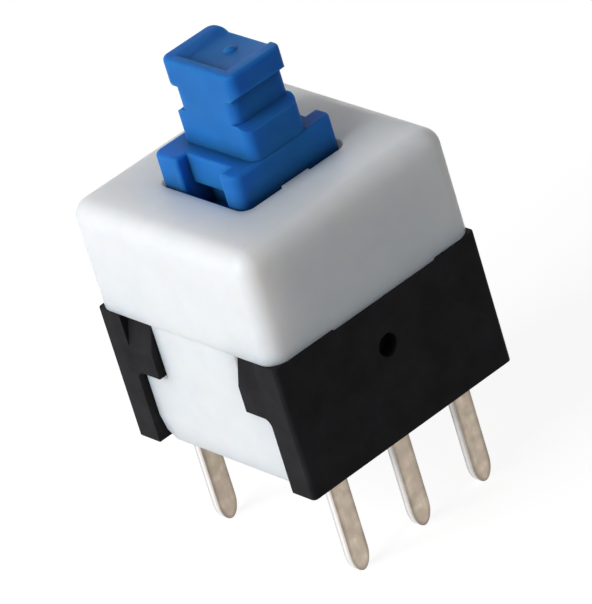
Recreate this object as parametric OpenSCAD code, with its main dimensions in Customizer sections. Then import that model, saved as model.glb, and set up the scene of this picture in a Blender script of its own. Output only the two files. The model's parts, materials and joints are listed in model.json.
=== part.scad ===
// Self-locking push switch, two poles, six pins, for a printed circuit board.
// Millimetres. The origin is the centre of the underside that sits on the board, and +Z is up.

/* [Body] */
// Width of the square body
body_w = 8; // [7:0.1:10]
// Height of the black side walls above the board
base_h = 4.5; // [4.2:0.1:5.5]
// Height of the white housing's top above the board
top_h = 8.1; // [7.9:0.1:9]
// Radius of the housing's corners and top edges
housing_r = 0.6; // [0.2:0.05:0.7]
// Thickness of the housing's top
top_t = 0.8; // [0.6:0.05:0.9]
// Thickness of the housing's side walls that sit on the base
housing_t = 0.8; // [0.6:0.05:0.9]
// Thickness of the black side walls
wall_t = 0.85; // [0.6:0.05:0.95]
// Radius of the base's upright corners
base_r = 0.15; // [0.05:0.05:0.4]
// Thickness of the base's floor
floor_t = 1; // [0.9:0.05:1.1]
// Depth of the shallow dip in the top of each black wall
dip_h = 0.06; // [0.04:0.01:0.1]
// Length of that dip
dip_len = 4.1; // [3:0.1:5]
// How far the dip lies from the middle of its wall
dip_y = 0.35; // [0:0.05:0.5]

/* [Snap tongues] */
// Width of each leg at the ends of the black walls
leg_w = 1; // [0.9:0.05:1.2]
// Distance between the two snap tabs on one side
tab_gap = 3.9; // [3.5:0.1:4.4]
// Height of a tab's underside above the board
tab_z = 2.5; // [2.2:0.05:2.8]
// How far a tab's lead-in ramp is set back at its top
tab_ramp = 0.35; // [0.1:0.05:0.5]
// Height of a tab's lead-in ramp
tab_ramp_h = 1.1; // [0.6:0.1:1.4]
// Radius of the haunch between a tab and its leg
haunch_r = 0.25; // [0.15:0.05:0.4]
// How far the white tongue is set back from the body's face
tongue_inset = 0.22; // [0.05:0.05:0.4]
// How much further the tongue is set back at its foot
tongue_taper = 0.15; // [0:0.05:0.4]
// Height of the tapered foot of a tongue
tongue_foot = 0.9; // [0.4:0.05:1.6]
// Thickness of a tongue at its root
tongue_t = 0.9; // [0.7:0.05:1.1]
// Chamfer on a tongue's lower corners
tongue_chamfer = 0.3; // [0.1:0.05:0.6]
// Diameter of the round recess in each black wall
wall_hole_d = 0.72; // [0.4:0.02:1]
// Depth of the round recess
wall_hole_depth = 0.55; // [0.2:0.05:0.7]
// Height of the round recess above the board
wall_hole_z = 2.95; // [2:0.05:3.4]

/* [Pins] */
// Distance between neighbouring pins in a row
pin_pitch = 2.5; // [2.4:0.02:2.54]
// Distance between the two rows
row_gap = 6; // [5.9:0.05:6.05]
// Width of a pin
pin_w = 0.7; // [0.5:0.05:0.72]
// Thickness of the terminal strip
strip_t = 0.3; // [0.2:0.02:0.34]
// Length of a pin below the board's face
pin_len = 3.6; // [2:0.1:5]
// Length of the rounded tip
tip_len = 0.65; // [0.3:0.05:1.2]

/* [Plunger] */
// Width of the collar, across the body
collar_w = 3.68; // [3.2:0.02:3.8]
// Depth of the collar, from tongue to tongue
collar_d = 3.9; // [3.4:0.02:4]
// Height of the collar above the housing's top
collar_up = 1.02; // [0.6:0.02:1.6]
// Radius of the collar's upright corners
collar_r = 0.3; // [0.1:0.05:0.5]
// Radius of the top edges of the collar and the head
edge_r = 0.12; // [0.04:0.01:0.2]
// Width of the notches in the collar's front and back
notch_w = 1.9; // [1.4:0.05:2.2]
// Depth of those notches
notch_d = 0.43; // [0.2:0.01:0.6]
// How much deeper the notches are below the housing's top
notch_sink = 0.5; // [0.2:0.05:0.6]
// Width of the guide rib on the right side of the housing's hole
guide_w = 1.05; // [0.5:0.05:1.4]
// How far the guide rib stands into the hole
guide_d = 0.12; // [0.05:0.01:0.2]
// How far the stem and the notches lie to the right of the middle
stem_x = 0.12; // [0:0.01:0.2]
// Width of the stem's lower block
block_w = 3.22; // [2.9:0.02:3.4]
// Height of the lower block
block_h = 1.13; // [0.6:0.01:1.6]
// Width of the stem's waist
waist_w = 2.54; // [2.3:0.02:2.8]
// Height of the waist
waist_h = 0.8; // [0.4:0.05:1.2]
// Height of the slope from the lower block to the waist
shoulder_h = 0.2; // [0.05:0.05:0.4]
// Width of the barbed head
head_w = 3.12; // [2.9:0.02:3.4]
// Height of the head, with its slanted underside
head_h = 0.87; // [0.6:0.01:1.2]
// Height of the head's slanted underside
head_slant = 0.17; // [0.1:0.01:0.3]
// Depth of the stem, from front to back
stem_d = 2.1; // [1.8:0.05:2.3]
// Radius of the stem's upright edges
stem_r = 0.3; // [0.1:0.05:0.5]
// Width of the recess in the head's top
crown_w = 2.3; // [1.6:0.05:2.4]
// Depth of that recess
crown_d = 0.18; // [0.05:0.01:0.3]
// How far the recess's sides slope inwards
crown_slant = 0.3; // [0.1:0.05:0.5]
// Thickness of the rim that closes the recess at the front
crown_rim = 0.3; // [0.2:0.05:0.5]
// Diameter of the small round nub in the recess
nub_d = 0.44; // [0.3:0.02:0.6]
// Height of the nub
nub_h = 0.1; // [0.04:0.01:0.15]
// How far the nub lies behind the middle
nub_y = 0.35; // [0:0.05:0.5]
// How far the plunger travels
travel = 2; // [1.6:0.1:2.1]
// Where the plunger stays down, measured from its released place
lock_travel = 1.5; // [1.2:0.05:1.6]
// Width of the flange that stops the plunger under the housing's top
flange_w = 4.8; // [4.4:0.1:5]
// Depth of the flange
flange_d = 4.6; // [4.4:0.1:4.6]
// Thickness of the flange
flange_t = 0.95; // [0.7:0.05:1]
// Width of the plunger below its flange
core_w = 3.5; // [3:0.1:3.6]
// Depth of the plunger below its flange
core_d = 3.8; // [3.6:0.05:3.9]

/* [Spring and latch] */
// Outside diameter of the return spring
spring_d = 1.8; // [1.6:0.05:1.9]
// Diameter of the spring's wire
spring_wire = 0.2; // [0.14:0.02:0.22]
// Number of turns of the spring
spring_turns = 8; // [6:1:9]
// Depth of the plunger's bore for the spring
spring_bore_len = 2.5; // [2:0.1:2.9]
// Diameter of the post inside the spring
post_d = 1.1; // [0.8:0.05:1.1]
// Height of that post above the floor
post_h = 1.2; // [0.6:0.1:1.5]
// Diameter of the latch wire
latch_d = 0.4; // [0.3:0.02:0.44]
// Height of the latch wire's bearing above the board
pivot_z = 0.55; // [0.5:0.05:0.6]
// Height of the latch wire's tip above its bearing
latch_reach = 3.35; // [3:0.05:3.45]
// Length of the latch wire's end in its bearing
pivot_len = 1; // [0.6:0.05:1.2]
// How far the cam pushes the wire's tip aside
cam_side = 0.95; // [0.7:0.05:1.05]
// Depth of the cam groove
cam_depth = 0.5; // [0.4:0.05:0.55]

/* [Moving contacts] */
// Thickness of the contact strip
contact_t = 0.12; // [0.08:0.01:0.16]
// Height of the contact strip
contact_h = 0.7; // [0.5:0.05:0.8]
// Height of the strip above the plunger's lower end
contact_up = 0.2; // [0.1:0.05:0.3]
// Height of the ledge on the plunger above and below the strip
ledge = 0.1; // [0.05:0.05:0.15]
// Length of the contact strip
contact_len = 5.6; // [5.4:0.1:5.6]
// How far the strip's crests stand out from the plunger
contact_bow = 0.55; // [0.4:0.05:0.65]
// Diameter of the studs that hold the strip
stud_d = 0.36; // [0.24:0.02:0.44]
// Height above the floor at which the terminals' pads start
pad_up = 0.15; // [0.15:0.05:0.3]
// Distance from the terminals' tops to the tops of the black walls
pad_down = 0.3; // [0.2:0.05:0.5]
// Height of the break between the open terminal's pad and the closed one's
break_gap = 0.4; // [0.2:0.05:0.6]

/* [Fits] */
// Gap between pieces that slide
slide_gap = 0.08; // [0.04:0.01:0.1]
// Gap between pieces that are pressed or snapped together
seat_gap = 0.03; // [0.01:0.01:0.05]
// Room left under the plunger at the end of its travel
stop_gap = 0.1; // [0.05:0.01:0.2]

/* [Hidden] */
$fn = 48;
eps = 0.01;

WHITE = [0.93, 0.93, 0.92];
BLACK = [0.10, 0.10, 0.11];
BLUE = [0.13, 0.42, 0.75];
TIN = [0.72, 0.68, 0.60];
BRONZE = [0.75, 0.55, 0.35];
STEEL = [0.70, 0.71, 0.72];

half = body_w / 2;
soft_share = 0.45;
wall_x = half - wall_t;
leg_x = half - leg_w;
tab_x = tab_gap / 2;
tongue_y = half - tongue_inset;
tongue_back = tongue_y - tongue_t;
floor_y = tongue_back - seat_gap;
ceiling_z = top_h - top_t;

flange_top = ceiling_z - seat_gap;
flange_z = flange_top - flange_t;
collar_top = top_h + collar_up;
block_top = collar_top + block_h;
waist_top = block_top + waist_h;
head_top = waist_top + head_h;
core_bottom = floor_t + stop_gap + travel;
spring_seat = core_bottom + spring_bore_len;
spring_bore_d = spring_d + 2 * slide_gap;
hole_w = collar_w + 2 * slide_gap + guide_d;
hole_d = collar_d + 2 * slide_gap;
collar_x = -guide_d / 2;

strip_x = row_gap / 2 + strip_t / 2;
pad_step = strip_t / 2;
pad_x = strip_x - pad_step - strip_t;
contact_z = core_bottom + contact_up;
break_z = contact_z + contact_h - lock_travel;
pad_foot = floor_t + pad_up;
pad_top = base_h - pad_down;
open_top = break_z - break_gap / 2;
closed_foot = break_z + break_gap / 2;
crest_x = pad_x - seat_gap;
valley_x = crest_x - contact_bow;
stud_y = pin_pitch / 2;
room_x = crest_x + slide_gap;
room_y = pin_pitch + pin_w / 2 + seat_gap;

cam_y = core_d / 2;
latch_y = (cam_y + room_y) / 2 + latch_d / 4;
latch_tip_z = pivot_z + latch_reach;
latch_angle = asin(cam_side / latch_reach);
cam_r = latch_d / 2 + slide_gap;
cam_start = [0, latch_tip_z];
cam_end = [cam_side, pivot_z + latch_reach * cos(latch_angle) + travel];
cam_lock = [0, latch_tip_z + lock_travel];
bend_r = latch_d;
bearing_y = latch_y - bend_r - slide_gap;

// A rectangle with round corners, centred
module round_rect(w, d, r) {
  square([w - 2 * r, d], center = true);
  square([w, d - 2 * r], center = true);
  for (x = [-1, 1], y = [-1, 1])
    translate([x * (w / 2 - r), y * (d / 2 - r)])
      circle(r);
}

// A block with round upright edges that stands on z
module round_block(w, d, h, r, z) {
  translate([0, 0, z])
    linear_extrude(h)
      round_rect(w, d, r);
}

// A plain block centred on the Z axis that stands on z
module block(w, d, h, z) {
  translate([-w / 2, -d / 2, z])
    cube([w, d, h]);
}

// A square block whose upright and top edges have the same radius
module ball_block(w, h, r, z) {
  inner = w - 2 * r;
  round_block(w, w, h - r, r, z);
  block(inner, inner, h, z);
  for (turn = [0:90:270])
    rotate(turn)
      translate([inner / 2, 0, z + h - r]) {
        rotate([90, 0, 0])
          cylinder(r = r, h = inner, center = true);
        translate([0, inner / 2, 0])
          sphere(r);
      }
}

// The radius of a top edge, limited by the upright corners that it runs around
function soft_edge(r) = min(edge_r, soft_share * r);

// The side of a block whose top corners are round
module soft_outline(w, h, e) {
  translate([-w / 2, 0])
    square([w, h - e]);
  translate([-w / 2 + e, 0])
    square([w - 2 * e, h]);
  for (side = [-1, 1])
    translate([side * (w / 2 - e), h - e])
      circle(e);
}

// A block with round upright edges and smaller round top edges
module soft_block(w, d, h, r, z) {
  e = soft_edge(r);
  translate([0, 0, z]) {
    along_y(d - 2 * r)
      soft_outline(w, h, e);
    rotate(90)
      along_y(w - 2 * r)
        soft_outline(d, h, e);
    for (x = [-1, 1], y = [-1, 1])
      translate([x * (w / 2 - r), y * (d / 2 - r), 0])
        rotate_extrude()
          intersection() {
            soft_outline(2 * r, h, e);
            square([r, h]);
          }
  }
}

// A profile drawn in X and Z, given a thickness along Y and centred on it
module along_y(d) {
  rotate([90, 0, 0])
    linear_extrude(d, center = true)
      children();
}

// A profile drawn in Y and Z, given a thickness along X from x upwards
module along_x(x, t) {
  translate([x, 0, 0])
    rotate([90, 0, 90])
      linear_extrude(t)
        children();
}

// One snap tongue on the front side, cut clear of the room that the contacts need
module tongue() {
  difference() {
    intersection() {
      along_x(-half, body_w)
        polygon([
          [-tongue_y, base_h + eps],
          [-tongue_y, tongue_foot],
          [-tongue_y + tongue_taper, 0],
          [-tongue_back, 0],
          [-tongue_back, base_h + eps]
        ]);
      along_y(2 * body_w)
        tongue_outline();
    }
    block(body_w, 2 * room_y, base_h + eps, -eps);
  }
}

// Neck between the tabs, and wider ears that catch below them
module tongue_outline() {
  neck = tab_x - slide_gap;
  ear = leg_x - slide_gap;
  ear_top = tab_z - slide_gap;
  ear_r = haunch_r - slide_gap;
  polygon([
    [-neck, base_h + eps], [-neck, ear_top], [-ear + ear_r, ear_top], [-ear, ear_top - ear_r],
    [-ear, tongue_chamfer], [-ear + tongue_chamfer, 0],
    [ear - tongue_chamfer, 0], [ear, tongue_chamfer],
    [ear, ear_top - ear_r], [ear - ear_r, ear_top], [neck, ear_top], [neck, base_h + eps]
  ]);
  for (side = [-1, 1])
    translate([side * (ear - ear_r), ear_top - ear_r])
      circle(ear_r);
}

// A strip from x outwards in the dip of the right wall
module dip_strip(x, w, len) {
  translate([x, dip_y - len / 2, base_h - dip_h])
    cube([w, len, dip_h + eps]);
}

module housing() {
  cavity_w = body_w - 2 * housing_t;
  color(WHITE) {
    difference() {
      ball_block(body_w, top_h - base_h, housing_r, base_h);
      block(cavity_w, 2 * tongue_back, ceiling_z - base_h + eps, base_h - eps);
      round_block(hole_w, hole_d, top_t + 2 * eps, collar_r + slide_gap, ceiling_z - eps);
    }
    translate([hole_w / 2 - guide_d, -guide_w / 2, ceiling_z])
      cube([guide_d + eps, guide_w, top_t]);
    for (turn = [0, 180])
      rotate(turn) {
        tongue();
        dip_strip(half - housing_t, housing_t, dip_len - 2 * seat_gap);
      }
  }
}

// One snap tab on the front right, with its lead-in ramp and the haunch below it
module tab() {
  back = tongue_back + slide_gap;
  translate([leg_x - haunch_r, -(half + back) / 2, tab_z - haunch_r])
    along_y(half - back)
      difference() {
        square(haunch_r + eps);
        circle(haunch_r);
      }
  along_x(tab_x, leg_x - tab_x + eps)
    polygon([
      [-half, tab_z],
      [-half, base_h - tab_ramp_h],
      [-half + tab_ramp, base_h],
      [-back, base_h],
      [-back, tab_z]
    ]);
}

// The slot that one terminal of the right row passes through, and its groove above the floor
module pin_slot(y) {
  w = pin_w + 2 * seat_gap;
  translate([strip_x - strip_t - seat_gap, y - w / 2, -eps])
    cube([strip_t + seat_gap, w, floor_t + 2 * eps]);
  translate([pad_x, y - pin_w / 2, floor_t])
    cube([strip_x - pad_x, pin_w, base_h]);
}

module base() {
  bearing_d = latch_d + slide_gap;
  notch_half = latch_d + slide_gap;
  notch_z = pivot_z - latch_d / 2 - slide_gap;
  color(BLACK) {
    difference() {
      union() {
        difference() {
          round_block(body_w, body_w, base_h, base_r, 0);
          block(2 * wall_x, 2 * floor_y, base_h, floor_t);
          for (turn = [0, 180])
            rotate(turn)
              translate([-leg_x, -half - eps, -eps])
                cube([2 * leg_x, half + eps - floor_y, base_h + 2 * eps]);
        }
        for (turn = [0, 180], side = [0, 1])
          rotate(turn)
            mirror([side, 0, 0])
              tab();
      }
      block(2 * room_x, 2 * room_y, base_h, floor_t);
      for (turn = [0, 180])
        rotate(turn)
          dip_strip(wall_x - eps, wall_t + 2 * eps, dip_len);
      for (side = [0, 1], i = [-1:1])
        mirror([side, 0, 0])
          pin_slot(i * pin_pitch);
      for (side = [-1, 1])
        translate([side * half, 0, wall_hole_z])
          rotate([0, 90, 0])
            cylinder(d = wall_hole_d, h = 2 * wall_hole_depth, center = true);
      translate([-notch_half, bearing_y, notch_z])
        cube([2 * notch_half, half, floor_t]);
      translate([0, bearing_y + eps, pivot_z])
        rotate([90, 0, 0])
          cylinder(d = bearing_d, h = pivot_len + slide_gap);
    }
    cylinder(d = post_d, h = floor_t + post_h);
  }
}

// The stem above the collar, seen from the front
module stem_outline() {
  foot = collar_top - eps;
  polygon([
    [-block_w / 2, foot], [block_w / 2, foot],
    [block_w / 2, block_top - shoulder_h], [waist_w / 2, block_top],
    [waist_w / 2, waist_top], [head_w / 2, waist_top + head_slant],
    [head_w / 2, head_top], [-head_w / 2, head_top],
    [-head_w / 2, waist_top + head_slant], [-waist_w / 2, waist_top],
    [-waist_w / 2, block_top], [-block_w / 2, block_top - shoulder_h]
  ]);
}

// The recess in the head's top, with sloped sides, a rim at the front and an open back
module crown() {
  crown_floor = crown_w / 2 - crown_slant;
  translate([0, crown_rim, 0])
    along_y(stem_d)
      polygon([
        [-crown_floor, head_top - crown_d], [crown_floor, head_top - crown_d],
        [crown_w / 2, head_top], [crown_w / 2, head_top + eps],
        [-crown_w / 2, head_top + eps], [-crown_w / 2, head_top]
      ]);
}

module stem() {
  nub_r = (nub_d * nub_d / 4 + nub_h * nub_h) / (2 * nub_h);
  translate([stem_x, 0, 0]) {
    difference() {
      intersection() {
        along_y(stem_d)
          stem_outline();
        union() {
          round_block(block_w, stem_d, block_h + eps, stem_r, collar_top - eps);
          round_block(waist_w, stem_d, waist_h + 2 * eps, stem_r, block_top - eps);
          soft_block(head_w, stem_d, head_h, stem_r, waist_top);
        }
      }
      crown();
    }
    translate([0, nub_y, head_top - crown_d + nub_h - nub_r])
      sphere(nub_r);
  }
}

module collar() {
  translate([collar_x, 0, 0])
    difference() {
      soft_block(collar_w, collar_d, collar_top - flange_top + eps, collar_r, flange_top - eps);
      for (side = [-1, 1])
        translate([stem_x - collar_x, side * collar_d / 2, 0]) {
          block(notch_w, 2 * notch_d, collar_top, flange_top);
          block(notch_w, 2 * (notch_d + notch_sink), top_h - flange_top, flange_top);
        }
    }
}

// A straight piece of the cam groove on the back face, from point a to point b in X and Z
module cam_lane(a, b) {
  run = b - a;
  translate([a[0], cam_y - cam_depth, a[1]])
    rotate([-90, atan2(-run[1], run[0]), 0])
      translate([0, -cam_r, 0])
        cube([norm(run), 2 * cam_r, cam_depth + eps]);
}

// The groove runs up one side of a heart, rests in its notch and comes down the other side
module cam_groove() {
  for (side = [0, 1])
    mirror([side, 0, 0]) {
      cam_lane(cam_start, cam_end);
      cam_lane(cam_lock, cam_end);
    }
  for (p = [cam_start, cam_end, [-cam_end[0], cam_end[1]], cam_lock])
    translate([p[0], cam_y + eps, p[1]])
      rotate([90, 0, 0])
        cylinder(r = cam_r, h = cam_depth + eps);
}

module plunger() {
  carrier_w = 2 * (valley_x - seat_gap);
  color(BLUE) {
    stem();
    collar();
    difference() {
      union() {
        block(flange_w, flange_d, flange_t, flange_z);
        block(core_w, core_d, flange_z - core_bottom + eps, core_bottom);
        block(carrier_w, core_d, contact_h + 2 * ledge, contact_z - ledge);
      }
      translate([0, 0, core_bottom - eps])
        cylinder(d = spring_bore_d, h = spring_seat - core_bottom + eps);
      cam_groove();
    }
    for (side = [-1, 1], y = [-stud_y, stud_y])
      translate([side * (valley_x - 2 * seat_gap), y, contact_z + contact_h / 2])
        rotate([0, side * 90, 0])
          cylinder(d = stud_d, h = contact_t + 4 * seat_gap);
  }
}

// Height of the spring's centre line after a number of turns: its end turns lie flat
function coil_z(turn) =
  let (closed = spring_wire, low = floor_t + seat_gap + spring_wire / 2,
       high = spring_seat - seat_gap - spring_wire / 2,
       pitch = (high - low - 2 * closed) / (spring_turns - 2))
  turn < 1 ? low + closed * turn :
  turn > spring_turns - 1 ? high - closed * (spring_turns - turn) :
  low + closed + pitch * (turn - 1);

module return_spring() {
  sides = 8;
  steps = 16;
  rings = spring_turns * steps;
  coil_r = (spring_d - spring_wire) / 2;
  points = [
    for (i = [0:rings], k = [0:sides - 1])
      let (a = 360 * i / steps, b = 360 * k / sides,
           r = coil_r + spring_wire / 2 * cos(b))
      [r * cos(a), r * sin(a), coil_z(i / steps) + spring_wire / 2 * sin(b)]
  ];
  walls = [
    for (i = [0:rings - 1], k = [0:sides - 1])
      let (n = (k + 1) % sides)
      [i * sides + k, i * sides + n, (i + 1) * sides + n, (i + 1) * sides + k]
  ];
  first = [for (k = [sides - 1:-1:0]) k];
  last = [for (k = [0:sides - 1]) rings * sides + k];
  color(STEEL)
    polyhedron(points, concat(walls, [first, last]));
}

// A quarter bend of the latch wire from the upright shank towards the front
module latch_bend() {
  rotate([90, 0, -90])
    rotate_extrude(angle = 90)
      translate([bend_r, 0])
        circle(d = latch_d);
}

module latch_pin() {
  shank_foot = pivot_z + bend_r;
  shank_len = latch_reach - 2 * bend_r;
  inner_y = latch_y - bend_r;
  tip_end = cam_y - cam_depth + slide_gap;
  color(STEEL) {
    translate([0, latch_y, shank_foot])
      cylinder(d = latch_d, h = shank_len);
    translate([0, inner_y, latch_tip_z - bend_r])
      mirror([0, 1, 0])
        latch_bend();
    translate([0, inner_y, shank_foot])
      mirror([0, 1, 0])
        mirror([0, 0, 1])
          latch_bend();
    translate([0, inner_y, latch_tip_z])
      rotate([90, 0, 0])
        cylinder(d = latch_d, h = inner_y - tip_end);
    translate([0, inner_y, pivot_z])
      rotate([90, 0, 0])
        cylinder(d = latch_d, h = slide_gap + pivot_len);
  }
}

// Distance of the strip's inner face from the middle: crests at the three pins, valleys at the studs
function contact_x(y) = valley_x + (contact_bow - contact_t) * (1 + cos(360 * y / pin_pitch)) / 2;

// One sprung strip, on the right
module moving_contact() {
  steps = 56;
  ys = [for (i = [0:steps]) contact_len * (i / steps - 0.5)];
  inner = [for (y = ys) [contact_x(y), y]];
  outer = [for (i = [steps:-1:0]) [contact_x(ys[i]) + contact_t, ys[i]]];
  color(BRONZE)
    difference() {
      translate([0, 0, contact_z])
        linear_extrude(contact_h)
          polygon(concat(inner, outer));
      for (y = [-stud_y, stud_y])
        translate([valley_x - contact_t, y, contact_z + contact_h / 2])
          rotate([0, 90, 0])
            cylinder(d = stud_d + 2 * seat_gap, h = 3 * contact_t);
    }
}

// One terminal of the right row: a blade with its pin below, and a pad formed inwards from foot to top
module terminal(y, foot, top) {
  outer = strip_x;
  inner = strip_x - strip_t;
  translate([0, y, 0])
    color(TIN)
      intersection() {
        along_y(pin_w)
          polygon([
            [outer, -pin_len], [outer, foot - pad_step],
            [outer - pad_step, foot], [outer - pad_step, top],
            [inner - pad_step, top], [inner - pad_step, foot],
            [inner, foot - pad_step], [inner, -pin_len]
          ]);
        along_x(0, half)
          pin_outline(top);
      }
}

// The terminal seen from the side: straight, with a tip that ends in half an ellipse
module pin_outline(top) {
  tip_z = tip_len - pin_len;
  translate([-pin_w / 2, tip_z])
    square([pin_w, top - tip_z]);
  translate([0, tip_z])
    scale([1, 2 * tip_len / pin_w])
      circle(d = pin_w);
}

module closed_terminal() terminal(-pin_pitch, closed_foot, pad_top);
module common_terminal() terminal(0, pad_foot, pad_top);
module open_terminal() terminal(pin_pitch, pad_foot, open_top);
module to_left() mirror([1, 0, 0]) children();

housing();
base();
plunger();
return_spring();
latch_pin();
to_left() moving_contact();  // left_moving_contact
moving_contact();  // right_moving_contact
to_left() closed_terminal();  // left_closed_terminal
to_left() common_terminal();  // left_common_terminal
to_left() open_terminal();  // left_open_terminal
closed_terminal();  // right_closed_terminal
common_terminal();  // right_common_terminal
open_terminal();  // right_open_terminal
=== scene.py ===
# Looks of a self-locking push switch: moulded plastics, tinned pins and sprung metal in a white studio.
import json
import math

import bmesh
import bpy
from mathutils import Matrix, Vector


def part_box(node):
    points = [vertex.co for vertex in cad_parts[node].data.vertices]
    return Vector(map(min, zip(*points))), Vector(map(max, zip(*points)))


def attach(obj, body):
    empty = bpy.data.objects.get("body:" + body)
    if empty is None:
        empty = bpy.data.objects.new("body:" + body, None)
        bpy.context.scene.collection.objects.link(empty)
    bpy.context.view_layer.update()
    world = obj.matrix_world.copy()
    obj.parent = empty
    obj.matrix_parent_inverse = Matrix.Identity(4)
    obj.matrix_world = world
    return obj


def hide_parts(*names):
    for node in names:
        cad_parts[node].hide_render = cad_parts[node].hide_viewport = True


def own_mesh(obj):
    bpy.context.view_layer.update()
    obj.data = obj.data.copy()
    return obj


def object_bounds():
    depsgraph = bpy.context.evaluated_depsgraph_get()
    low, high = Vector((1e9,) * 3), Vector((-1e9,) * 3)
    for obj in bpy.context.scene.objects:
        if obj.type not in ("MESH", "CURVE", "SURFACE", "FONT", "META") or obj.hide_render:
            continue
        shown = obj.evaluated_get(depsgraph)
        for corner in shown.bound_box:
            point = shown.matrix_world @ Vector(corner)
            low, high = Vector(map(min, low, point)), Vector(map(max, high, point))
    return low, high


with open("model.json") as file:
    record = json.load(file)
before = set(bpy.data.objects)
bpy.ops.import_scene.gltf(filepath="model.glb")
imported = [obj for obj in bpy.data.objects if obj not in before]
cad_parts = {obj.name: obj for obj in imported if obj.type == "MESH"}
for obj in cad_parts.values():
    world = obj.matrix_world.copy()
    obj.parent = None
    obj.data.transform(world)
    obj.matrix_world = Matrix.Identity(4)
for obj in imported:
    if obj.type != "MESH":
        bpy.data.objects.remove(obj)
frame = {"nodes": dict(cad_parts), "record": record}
cad_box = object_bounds()

MM = 0.001
WHITE = (1.0, 1.0, 1.0, 1.0)
scene = bpy.context.scene
scene.view_settings.view_transform = "Standard"

# Camera, fitted to the photograph
IMAGE_LONG_SIDE_PX = 604
FOCAL_PX = 6362.66
SENSOR_MM = 36.0
CAMERA_MM = (134.659, -88.695, 93.150)
CAMERA_AZIMUTH_DEG = 56.62
CAMERA_ELEVATION_DEG = 29.12
CAMERA_ROLL_DEG = 17.20
CLIP_MM = (1.0, 5000.0)

# Studio
FLOOR_SIZE_MM = 4000.0
FLOOR_BOUNCE = 0.72
FLOOR_SHADOW_SHARE = 0.28
FLOOR_GLOW = 0.86
WORLD_FILL = 0.185
WORLD_SEEN = 1.0
LAMPS = {
    "key": dict(place_mm=(-12, -205, 108), size_mm=150, watts=0.47),
    "back": dict(place_mm=(-130, 170, 40), size_mm=150, watts=0.06),
}

# Noise: the middle part of its range, which is spread over a pair of values, and its usual detail
NOISE_LOW = 0.3
NOISE_HIGH = 0.7
NOISE_DETAIL = 3.0

# Moulded plastic: cells of noise per millimetre, and the size of what they change
PLASTIC_IOR = 1.5
MOTTLE_PER_MM = 1.1
SHEEN_PER_MM = 2.3
SHEEN_SPREAD = 0.06
GRAIN_PER_MM = 14.0
GRAIN_STRENGTH = 0.25
WAVES_PER_MM = 0.7
WAVES_DETAIL = 1.0
WAVES_MM = 0.012
WAVES_STRENGTH = 0.3
# Samples for the painted shade that darkens hollows
HOLLOW_SHADE_SAMPLES = 8

# Drawn and rolled metal: cells of noise per millimetre, and the size of what they change
STREAKS_PER_MM = 9.0
STREAK_SHADES = (0.86, 1.10)
STREAK_MM = 0.006
STREAK_STRENGTH = 0.35
TARNISH_PER_MM = (2.6, 1.3)
TARNISH_DETAIL = 6.0
TARNISH_SHARE = 0.8
DULLNESS_PER_MM = 3.1
DULLNESS_SPREAD = 0.1
# How far a normal leans to X where the painted highlight of the cut edges is full, and where it is gone
CUT_EDGE_HIGHLIGHT_LEAN = 0.3
ROLLED_FACE_LEAN = 0.9
# Samples for the painted shade near outer edges
EDGE_SHADE_SAMPLES = 8

# Rounded edges: how points and flat faces are joined, which edges are rounded, and by how much
WELD_MM = 0.012
FLAT_DEG = 0.5
SHARP_DEG = 25.0
SMOOTH_DEG = 35.0
ROUND_STEPS = 3
ROUND_PROFILE = 0.5
ROOM_SHARE = 0.95
LEAST_LEAN = 1e-6
LEAST_EDGE_MM = 0.0005
FOLD_DEG = 120.0
FOLD_REACH = 1.5
TERMINAL_ROUNDING_MM = 0.03
ROUNDING_MM = {
    "housing": 0.03,
    "base": 0.035,
    "plunger": 0.11,
    "latch_pin": 0.02,
    "left_moving_contact": 0.015,
    "right_moving_contact": 0.015,
}

# Return spring
SPRING = "return_spring"
SPRING_TURNS = 8
SPRING_WIRE_MM = 0.2
SPRING_STEPS = 40
SPRING_SIDES = 12


def node_tree(owner):
    """An empty node tree on a material or world, with a function that adds a node to it."""
    owner.use_nodes = True
    tree = owner.node_tree
    tree.nodes.clear()

    def add(kind, values=None, **settings):
        made = tree.nodes.new(kind)
        for key, value in settings.items():
            setattr(made, key, value)
        for key, value in (values or {}).items():
            made.inputs[key].default_value = value
        return made

    return tree, add


def colour(rgb):
    """A colour with full opacity."""
    return (*rgb, 1.0)


def shade(rgb, factor):
    """A colour made lighter or darker."""
    return colour(min(1.0, c * factor) for c in rgb)


def slot_colour(slot):
    """The colour that the record gives to a material slot."""
    return next(m["base_color"] for m in frame["record"]["materials"] if m["slot"] == slot)


def noise_ramp(tree, add, place, per_mm, low=0.0, high=1.0, detail=NOISE_DETAIL):
    """Noise with a number of cells per millimetre, spread between two values."""
    noise = add("ShaderNodeTexNoise", {"Scale": per_mm / MM, "Detail": detail})
    spread = add("ShaderNodeMapRange",
                 {"From Min": NOISE_LOW, "From Max": NOISE_HIGH, "To Min": low, "To Max": high})
    tree.links.new(place, noise.inputs["Vector"])
    tree.links.new(noise.outputs["Fac"], spread.inputs["Value"])
    return spread.outputs["Result"]


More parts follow.
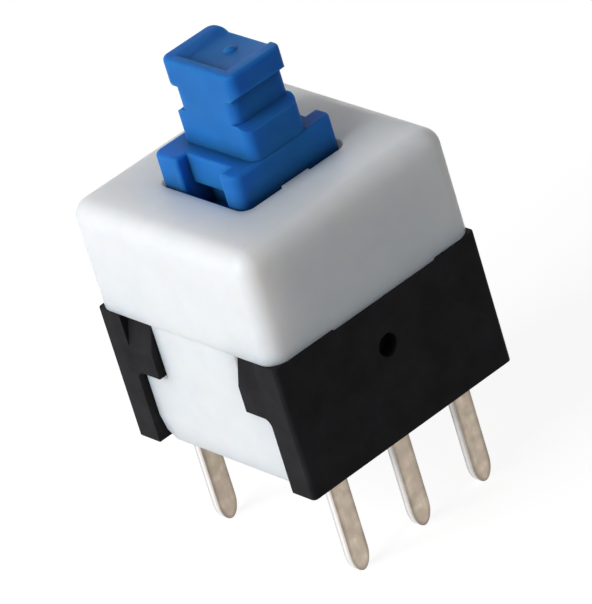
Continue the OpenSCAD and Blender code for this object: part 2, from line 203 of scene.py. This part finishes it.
def moulded(slot, roughness, gloss, grain_mm, mottle, scatter=0.0, scatter_mm=(0, 0, 0), hollow_mm=0.0):
    """Moulded plastic: faint mottling, uneven sheen, a fine eroded grain and slow waves.

    Light can scatter inside it, by its own distance for red, green and blue, and its hollows can get
    painted shade.
    """
    rgb = slot_colour(slot)
    material = bpy.data.materials.new(slot)
    tree, add = node_tree(material)
    link = tree.links.new
    place = add("ShaderNodeTexCoord").outputs["Object"]
    dark, light = (shade(rgb, factor) for factor in (1.0 - mottle, 1.0 + mottle))
    blend = add("ShaderNodeMix", {"A": dark, "B": light}, data_type="RGBA")
    link(noise_ramp(tree, add, place, MOTTLE_PER_MM), blend.inputs["Factor"])
    skin = add("ShaderNodeBsdfPrincipled", {"IOR": PLASTIC_IOR, "Specular IOR Level": gloss})
    # Painted shade: the colour is darkened in hollows and crevices, where shade falls
    if hollow_mm:
        hollow = add("ShaderNodeAmbientOcclusion", {"Distance": hollow_mm * MM}, samples=HOLLOW_SHADE_SAMPLES)
        link(blend.outputs["Result"], hollow.inputs["Color"])
        link(hollow.outputs["Color"], skin.inputs["Base Color"])
    else:
        link(blend.outputs["Result"], skin.inputs["Base Color"])
    sheen = noise_ramp(tree, add, place, SHEEN_PER_MM, roughness - SHEEN_SPREAD, roughness + SHEEN_SPREAD)
    link(sheen, skin.inputs["Roughness"])
    if scatter:
        skin.inputs["Subsurface Weight"].default_value = scatter
        skin.inputs["Subsurface Radius"].default_value = scatter_mm
        skin.inputs["Subsurface Scale"].default_value = MM
    grain = add("ShaderNodeBump", {"Strength": GRAIN_STRENGTH, "Distance": grain_mm * MM})
    waves = add("ShaderNodeBump", {"Strength": WAVES_STRENGTH, "Distance": WAVES_MM * MM})
    link(noise_ramp(tree, add, place, GRAIN_PER_MM), grain.inputs["Height"])
    link(noise_ramp(tree, add, place, WAVES_PER_MM, detail=WAVES_DETAIL), waves.inputs["Height"])
    link(waves.outputs["Normal"], grain.inputs["Normal"])
    link(grain.outputs["Normal"], skin.inputs["Normal"])
    output = add("ShaderNodeOutputMaterial")
    link(skin.outputs["BSDF"], output.inputs["Surface"])
    return material


def drawn_metal(slot, roughness, tarnish, stretch, metallic=1.0, cut_rgb=None, edge_mm=0.0):
    """Metal with streaks along its length, layers of tarnish in spots and a brushed bump.

    The cut edges of a strip can get a painted highlight, a paler colour: its rolled faces are those that
    face X.
    Near its outer edges it can be darkened with painted shade.
    """
    rgb = slot_colour(slot)
    material = bpy.data.materials.new(slot)
    tree, add = node_tree(material)
    link = tree.links.new
    surface = add("ShaderNodeTexCoord")
    place = surface.outputs["Object"]
    along = add("ShaderNodeMapping", {"Scale": stretch})
    link(place, along.inputs["Vector"])
    streaks = noise_ramp(tree, add, along.outputs["Vector"], STREAKS_PER_MM)
    dark, light = (shade(rgb, factor) for factor in STREAK_SHADES)
    streaked = add("ShaderNodeMix", {"A": dark, "B": light}, data_type="RGBA")
    link(streaks, streaked.inputs["Factor"])
    finish = streaked.outputs["Result"]
    for per_mm, tarnish_rgb in zip(TARNISH_PER_MM, tarnish):
        layer = add("ShaderNodeMix", {"B": colour(tarnish_rgb)}, data_type="RGBA")
        spots = noise_ramp(tree, add, place, per_mm, high=TARNISH_SHARE, detail=TARNISH_DETAIL)
        link(spots, layer.inputs["Factor"])
        link(finish, layer.inputs["A"])
        finish = layer.outputs["Result"]
    # Painted highlight: faces that don't face X, the cut edges, get a paler colour that stands in for the
    # light on them
    if cut_rgb:
        facing = add("ShaderNodeSeparateXYZ")
        link(surface.outputs["Normal"], facing.inputs["Vector"])
        across = add("ShaderNodeMath", operation="ABSOLUTE")
        link(facing.outputs["X"], across.inputs[0])
        rolled = add("ShaderNodeMapRange", {"From Min": CUT_EDGE_HIGHLIGHT_LEAN, "From Max": ROLLED_FACE_LEAN})
        link(across.outputs["Value"], rolled.inputs["Value"])
        strip = add("ShaderNodeMix", {"A": colour(cut_rgb)}, data_type="RGBA")
        link(rolled.outputs["Result"], strip.inputs["Factor"])
        link(finish, strip.inputs["B"])
        finish = strip.outputs["Result"]
    # Painted shade: the colour is darkened near the outer edges, standing in for their darker reflection
    if edge_mm:
        edge_shade = add("ShaderNodeAmbientOcclusion", {"Distance": edge_mm * MM}, samples=EDGE_SHADE_SAMPLES,
                  inside=True, only_local=True)
        link(finish, edge_shade.inputs["Color"])
        finish = edge_shade.outputs["Color"]
    skin = add("ShaderNodeBsdfPrincipled", {"Metallic": metallic})
    link(finish, skin.inputs["Base Color"])
    dullness = noise_ramp(tree, add, place, DULLNESS_PER_MM,
                          roughness - DULLNESS_SPREAD, roughness + DULLNESS_SPREAD)
    link(dullness, skin.inputs["Roughness"])
    bump = add("ShaderNodeBump", {"Strength": STREAK_STRENGTH, "Distance": STREAK_MM * MM})
    link(streaks, bump.inputs["Height"])
    link(bump.outputs["Normal"], skin.inputs["Normal"])
    output = add("ShaderNodeOutputMaterial")
    link(skin.outputs["BSDF"], output.inputs["Surface"])
    return material


FINISHES = {
    "white_plastic": (moulded, dict(
        roughness=0.42, gloss=0.40, grain_mm=0.004, mottle=0.02, scatter=0.8, scatter_mm=(2.0, 1.55, 1.2))),
    "black_plastic": (moulded, dict(
        roughness=0.45, gloss=0.03, grain_mm=0.008, mottle=0.25)),
    # The blue plastic's hollows are darkened with painted shade.
    "blue_plastic": (moulded, dict(
        roughness=0.42, gloss=0.05, grain_mm=0.005, mottle=0.06, scatter=0.7, scatter_mm=(0.3, 0.6, 1.6),
        hollow_mm=0.6)),
    "spring_steel": (drawn_metal, dict(
        roughness=0.30, tarnish=((0.40, 0.39, 0.38),), stretch=(1, 1, 1))),
    "contact_bronze": (drawn_metal, dict(
        roughness=0.32, tarnish=((0.40, 0.24, 0.12),), stretch=(1, 0.1, 1))),
    # The pins' cut edges get a painted highlight.
    "tinned_brass": (drawn_metal, dict(
        roughness=0.58, tarnish=((0.50, 0.45, 0.32), (0.68, 0.55, 0.47)), stretch=(1, 1, 0.3), metallic=0.6,
        # Painted shade near the pins' outer edges
        cut_rgb=(0.95, 0.92, 0.90), edge_mm=0.16)),
}
MATERIALS = {slot: make(slot, **finish) for slot, (make, finish) in FINISHES.items()}


def body_of(node):
    """The body that a node belongs to."""
    bodies = frame["record"]["behaviour"]["bodies"]
    return next(name for name, nodes in bodies.items() if node in nodes)


def slot_of(node):
    """The material slot of a node."""
    return next(s["material_slot"] for s in frame["record"]["subparts"] if s["node"] == node)


def place_piece(piece, node):
    """Shows a piece in the place of a CAD node: same body, same slot, and its material."""
    scene.collection.objects.link(piece)
    piece.data.materials.append(MATERIALS[slot_of(node)])
    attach(piece, body_of(node))
    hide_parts(node)


def corner_angle(corner):
    """The angle inside a face at a corner, which is over half a turn where the face bends inwards."""
    return corner.calc_angle() if corner.is_convex else math.tau - corner.calc_angle()


def room(edge, chosen):
    """How far an edge can be rounded before the rounding meets the next one or passes the end of a face."""
    limit = math.inf
    for start in edge.link_loops:
        end = start.link_loop_next
        used = 0.0
        for corner, near in ((start, start.link_loop_prev.edge), (end, end.edge)):
            angle = corner_angle(corner)
            if near in chosen:
                used += max(0.0, 1 / math.tan(angle / 2))
            elif math.sin(angle) > LEAST_LEAN:
                used += max(0.0, 1 / math.tan(angle))
                limit = min(limit, near.calc_length() * math.sin(angle))
            else:
                return 0.0
        if used:
            limit = min(limit, edge.calc_length() / used)
    return limit


def edges_with_room(bm, radius_mm, spared):
    """The sharp outward edges that have room for the whole rounding, but for those that are spared."""
    sharp = {e for e in bm.edges if e.is_convex and e.calc_face_angle(0.0) > math.radians(SHARP_DEG)}
    chosen = sharp - spared
    while tight := {e for e in chosen if room(e, chosen) < radius_mm * ROOM_SHARE}:
        chosen -= tight
    return [e for e in bm.edges if e in chosen]


def folds(bm, radius_mm):
    """The middles of the edges at which the rounding has folded a small face back over its neighbour."""
    return [(e.verts[0].co + e.verts[1].co) / 2 for e in bm.edges
            if e.calc_face_angle(0.0) > math.radians(FOLD_DEG)
            and min(f.calc_area() for f in e.link_faces) < radius_mm ** 2]


def round_edges(bm, radius_mm):
    """A copy with rounded edges. An edge stays sharp if its rounding would fold over at its end."""
    spared = set()
    bm.edges.index_update()
    while True:
        chosen = edges_with_room(bm, radius_mm, spared)
        trial = bm.copy()
        trial.edges.ensure_lookup_table()
        bmesh.ops.bevel(trial, geom=[trial.edges[e.index] for e in chosen], offset=radius_mm,
                        segments=ROUND_STEPS, profile=ROUND_PROFILE, affect="EDGES", clamp_overlap=True)
        bmesh.ops.dissolve_degenerate(trial, dist=LEAST_EDGE_MM, edges=trial.edges)
        trial.normal_update()
        reach = radius_mm * FOLD_REACH
        faults = folds(trial, radius_mm)
        folded = {e for e in chosen if any((v.co - f).length < reach for v in e.verts for f in faults)}
        if not folded:
            return trial
        trial.free()
        spared |= folded


def smooth_mesh(bm, name):
    """A mesh that is smooth but for the edges where its faces meet at a clear angle."""
    bm.normal_update()
    for face in bm.faces:
        face.smooth = True
    for edge in bm.edges:
        edge.smooth = edge.calc_face_angle(0.0) < math.radians(SMOOTH_DEG)
    mesh = bpy.data.meshes.new(name)
    bm.to_mesh(mesh)
    bm.free()
    return mesh


def rounded(node, radius_mm):
    """A copy of a CAD node with its flat faces joined and its sharp outward edges rounded, worked in mm."""
    bm = bmesh.new()
    bm.from_mesh(frame["nodes"][node].data)
    bmesh.ops.scale(bm, vec=Vector((1, 1, 1)) / MM, verts=bm.verts)
    bmesh.ops.remove_doubles(bm, verts=bm.verts, dist=WELD_MM)
    bmesh.ops.dissolve_limit(bm, angle_limit=math.radians(FLAT_DEG), verts=bm.verts, edges=bm.edges)
    finished = round_edges(bm, radius_mm)
    bm.free()
    bmesh.ops.scale(finished, vec=Vector((1, 1, 1)) * MM, verts=finished.verts)
    piece = bpy.data.objects.new(node + "_finish", smooth_mesh(finished, node + "_rounded"))
    normals = piece.modifiers.new("normals", "WEIGHTED_NORMAL")
    normals.keep_sharp = True
    place_piece(piece, node)


def spring():
    """The return spring as a smooth helix with flat end turns."""
    low, high = (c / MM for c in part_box(SPRING))
    wire = SPRING_WIRE_MM / 2
    coil = (high.x - low.x) / 2 - wire
    foot, top = low.z + wire, high.z - wire
    pitch = (top - foot - 2 * SPRING_WIRE_MM) / (SPRING_TURNS - 2)
    rings = SPRING_TURNS * SPRING_STEPS
    bm = bmesh.new()
    tube = []
    for i in range(rings + 1):
        turn = i / SPRING_STEPS
        angle = math.tau * turn
        flat = min(turn, 1) + max(turn - SPRING_TURNS + 1, 0)
        height = foot + SPRING_WIRE_MM * flat + pitch * (turn - flat)
        ring = []
        for k in range(SPRING_SIDES):
            around = math.tau * k / SPRING_SIDES
            reach = coil + wire * math.cos(around)
            up = height + wire * math.sin(around)
            ring.append(bm.verts.new(Vector((reach * math.cos(angle), reach * math.sin(angle), up)) * MM))
        tube.append(ring)
    for a, b in zip(tube, tube[1:]):
        for k in range(SPRING_SIDES):
            n = (k + 1) % SPRING_SIDES
            bm.faces.new((a[k], b[k], b[n], a[n]))
    bm.faces.new(tube[0])
    bm.faces.new(reversed(tube[-1]))
    bmesh.ops.recalc_face_normals(bm, faces=bm.faces)
    piece = bpy.data.objects.new(SPRING + "_finish", smooth_mesh(bm, SPRING + "_helix"))
    place_piece(piece, SPRING)
    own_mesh(piece)


def camera():
    """The photograph's camera: its place, its direction and its roll."""
    azimuth, elevation, roll = (
        math.radians(a) for a in (CAMERA_AZIMUTH_DEG, CAMERA_ELEVATION_DEG, CAMERA_ROLL_DEG))
    back = Vector((math.sin(azimuth) * math.cos(elevation), -math.cos(azimuth) * math.cos(elevation),
                   math.sin(elevation)))
    level = Vector((math.cos(azimuth), math.sin(azimuth), 0.0))
    upright = back.cross(level)
    up = math.cos(roll) * upright + math.sin(roll) * level
    right = math.cos(roll) * level - math.sin(roll) * upright
    data = bpy.data.cameras.new("camera")
    data.sensor_width = SENSOR_MM
    data.lens = FOCAL_PX * SENSOR_MM / IMAGE_LONG_SIDE_PX
    data.clip_start, data.clip_end = (c * MM for c in CLIP_MM)
    made = bpy.data.objects.new("camera", data)
    turn = Matrix((right, up, back)).transposed().to_4x4()
    made.matrix_world = Matrix.Translation(Vector(CAMERA_MM) * MM) @ turn
    scene.collection.objects.link(made)
    scene.camera = made


def seen_directly(tree, add):
    """1 for rays from the camera or through gloss and glass, else 0."""
    path = add("ShaderNodeLightPath")
    total = path.outputs["Is Camera Ray"]
    for name in ("Is Glossy Ray", "Is Transmission Ray"):
        either = add("ShaderNodeMath", operation="MAXIMUM")
        tree.links.new(total, either.inputs[0])
        tree.links.new(path.outputs[name], either.inputs[1])
        total = either.outputs["Value"]
    return total


def floor():
    """A white floor at the pins' tips that keeps the object's shadow."""
    mesh = bpy.data.meshes.new("floor")
    half = FLOOR_SIZE_MM * MM / 2
    low = cad_box[0].z
    corners = [(-half, -half, low), (half, -half, low), (half, half, low), (-half, half, low)]
    mesh.from_pydata(corners, [], [(0, 1, 2, 3)])
    piece = bpy.data.objects.new("floor", mesh)
    scene.collection.objects.link(piece)
    material = bpy.data.materials.new("floor")
    tree, add = node_tree(material)
    link = tree.links.new
    bounce = add("ShaderNodeBsdfDiffuse", {"Color": colour((FLOOR_BOUNCE,) * 3)})
    shadow = add("ShaderNodeBsdfDiffuse", {"Color": colour((FLOOR_SHADOW_SHARE,) * 3)})
    glow = add("ShaderNodeEmission", {"Strength": FLOOR_GLOW})
    both = add("ShaderNodeAddShader")
    link(shadow.outputs["BSDF"], both.inputs[0])
    link(glow.outputs["Emission"], both.inputs[1])
    mix = add("ShaderNodeMixShader")
    link(seen_directly(tree, add), mix.inputs["Fac"])
    link(bounce.outputs["BSDF"], mix.inputs[1])
    link(both.outputs["Shader"], mix.inputs[2])
    output = add("ShaderNodeOutputMaterial")
    link(mix.outputs["Shader"], output.inputs["Surface"])
    mesh.materials.append(material)


def backdrop():
    """A world that is white where it is seen and a soft fill elsewhere."""
    world = bpy.data.worlds.new("studio")
    scene.world = world
    tree, add = node_tree(world)
    link = tree.links.new
    fill = add("ShaderNodeBackground", {"Color": WHITE, "Strength": WORLD_FILL})
    seen = add("ShaderNodeBackground", {"Color": WHITE, "Strength": WORLD_SEEN})
    mix = add("ShaderNodeMixShader")
    link(seen_directly(tree, add), mix.inputs["Fac"])
    link(fill.outputs["Background"], mix.inputs[1])
    link(seen.outputs["Background"], mix.inputs[2])
    output = add("ShaderNodeOutputWorld")
    link(mix.outputs["Shader"], output.inputs["Surface"])


def soft_box(name, place_mm, size_mm, watts):
    """A square area lamp that faces the middle of the object."""
    data = bpy.data.lights.new(name, "AREA")
    data.size = size_mm * MM
    data.energy = watts
    lamp = bpy.data.objects.new(name, data)
    middle = (cad_box[0] + cad_box[1]) / 2
    place = Vector(place_mm) * MM
    lamp.location = place
    lamp.rotation_mode = "QUATERNION"
    lamp.rotation_quaternion = (middle - place).to_track_quat("-Z", "Y")
    scene.collection.objects.link(lamp)


# The object
for node in frame["nodes"]:
    if node != SPRING:
        rounded(node, ROUNDING_MM.get(node, TERMINAL_ROUNDING_MM))
spring()

# The studio around it
camera()
floor()
backdrop()
for name, lamp in LAMPS.items():
    soft_box(name, **lamp)
